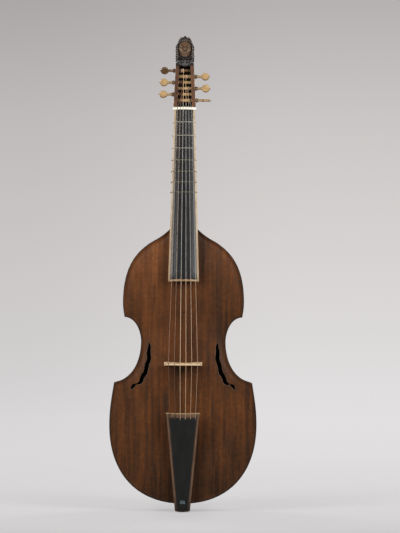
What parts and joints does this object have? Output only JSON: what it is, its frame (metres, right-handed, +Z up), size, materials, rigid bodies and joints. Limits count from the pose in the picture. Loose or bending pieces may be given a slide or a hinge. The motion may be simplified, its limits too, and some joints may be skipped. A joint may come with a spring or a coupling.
{
  "type": "viola da gamba",
  "caption": "Bass viola da gamba with arched belly, flame sound holes, canted flat back, tied gut frets, side pegs, hooked tailpiece and a carved head.",
  "frame": {"origin": "on the back's flat outer face, on the centre line, level with the widest place of the lower bout", "axes": "+Z up the neck, +X to the viewer's right, +Y out of the back, so the belly, bridge and strings face -Y"},
  "size_m": [0.383, 0.2188, 1.241],
  "materials": {
    "belly_varnish": "dark red-brown varnish over straight-grained softwood, worn and satin",
    "body_varnish": "dark brown varnish over figured hardwood",
    "inner_wood": "bare aged softwood",
    "head_wood": "nearly black glossy varnish on carved wood",
    "ebony": "black polished wood with a bluish sheen",
    "pale_edging": "pale satin edging",
    "tailpiece_edging_wood": "brown satin edging",
    "bone": "white polished bone",
    "gut": "pale translucent gut",
    "overspun_gut": "brownish gut overspun with fine wire",
    "boxwood": "tan polished turned wood",
    "maple": "pale bare hardwood"
  },
  "bodies": {
    "viol": {"belly": "belly_varnish", "back": "body_varnish", "lower_rib_right": "body_varnish", "middle_rib_right": "body_varnish", "upper_rib_right": "body_varnish", "lower_corner_block_right": "inner_wood", "upper_corner_block_right": "inner_wood", "lower_rib_left": "body_varnish", "middle_rib_left": "body_varnish", "upper_rib_left": "body_varnish", "lower_corner_block_left": "inner_wood", "upper_corner_block_left": "inner_wood", "bottom_block": "inner_wood", "top_block": "inner_wood", "bass_bar": "inner_wood", "sound_post": "inner_wood", "sound_post_plate": "inner_wood", "lower_back_brace": "inner_wood", "bend_brace": "inner_wood", "upper_back_brace": "inner_wood", "neck": "body_varnish", "peg_box": "body_varnish", "carved_head": "head_wood", "fingerboard": "ebony", "fingerboard_edging_right": "pale_edging", "fingerboard_edging_left": "pale_edging", "fingerboard_edging_end": "pale_edging", "nut": "bone", "bridge": "maple", "tailpiece": "ebony", "tailpiece_edging_right": "tailpiece_edging_wood", "tailpiece_edging_left": "tailpiece_edging_wood", "tailpiece_edging_top": "tailpiece_edging_wood", "tailpiece_saddle": "pale_edging", "hook_bar": "ebony", "string_1": "overspun_gut", "string_2": "overspun_gut", "string_3": "gut", "string_4": "gut", "string_5": "gut", "string_6": "gut"},
    "peg_1_body": {"peg_1": "boxwood", "string_6_winding": "gut"},
    "peg_2_body": {"peg_2": "boxwood", "string_1_winding": "overspun_gut"},
    "peg_3_body": {"peg_3": "boxwood", "string_5_winding": "gut"},
    "peg_4_body": {"peg_4": "boxwood", "string_2_winding": "overspun_gut"},
    "peg_5_body": {"peg_5": "boxwood", "string_4_winding": "gut"},
    "peg_6_body": {"peg_6": "boxwood", "string_3_winding": "gut"},
    "fret_1_body": {"fret_1": "gut"},
    "fret_2_body": {"fret_2": "gut"},
    "fret_3_body": {"fret_3": "gut"},
    "fret_4_body": {"fret_4": "gut"},
    "fret_5_body": {"fret_5": "gut"},
    "fret_6_body": {"fret_6": "gut"},
    "fret_7_body": {"fret_7": "gut"}
  },
  "joints": [
    {"name": "peg_1_turn", "type": "hinge", "parent": "viol", "child": "peg_1_body", "pos_m": [0, -0.089, 0.84599], "axis": [1, 0, 0], "continuous": true},
    {"name": "peg_2_turn", "type": "hinge", "parent": "viol", "child": "peg_2_body", "pos_m": [0, -0.08381, 0.8618], "axis": [1, 0, 0], "continuous": true},
    {"name": "peg_3_turn", "type": "hinge", "parent": "viol", "child": "peg_3_body", "pos_m": [0, -0.07861, 0.8776], "axis": [1, 0, 0], "continuous": true},
    {"name": "peg_4_turn", "type": "hinge", "parent": "viol", "child": "peg_4_body", "pos_m": [0, -0.07342, 0.89341], "axis": [1, 0, 0], "continuous": true},
    {"name": "peg_5_turn", "type": "hinge", "parent": "viol", "child": "peg_5_body", "pos_m": [0, -0.06823, 0.90922], "axis": [1, 0, 0], "continuous": true},
    {"name": "peg_6_turn", "type": "hinge", "parent": "viol", "child": "peg_6_body", "pos_m": [0, -0.06303, 0.92502], "axis": [1, 0, 0], "continuous": true},
    {"name": "fret_1_slide", "type": "slide", "parent": "viol", "child": "fret_1_body", "axis": [0, -0.1478, -0.989], "range_m": [-0.003, 0.003]},
    {"name": "fret_2_slide", "type": "slide", "parent": "viol", "child": "fret_2_body", "axis": [0, -0.1478, -0.989], "range_m": [-0.003, 0.003]},
    {"name": "fret_3_slide", "type": "slide", "parent": "viol", "child": "fret_3_body", "axis": [0, -0.1478, -0.989], "range_m": [-0.003, 0.003]},
    {"name": "fret_4_slide", "type": "slide", "parent": "viol", "child": "fret_4_body", "axis": [0, -0.1478, -0.989], "range_m": [-0.003, 0.003]},
    {"name": "fret_5_slide", "type": "slide", "parent": "viol", "child": "fret_5_body", "axis": [0, -0.1478, -0.989], "range_m": [-0.003, 0.003]},
    {"name": "fret_6_slide", "type": "slide", "parent": "viol", "child": "fret_6_body", "axis": [0, -0.1478, -0.989], "range_m": [-0.003, 0.003]},
    {"name": "fret_7_slide", "type": "slide", "parent": "viol", "child": "fret_7_body", "axis": [0, -0.1478, -0.989], "range_m": [-0.003, 0.003]}
  ]
}
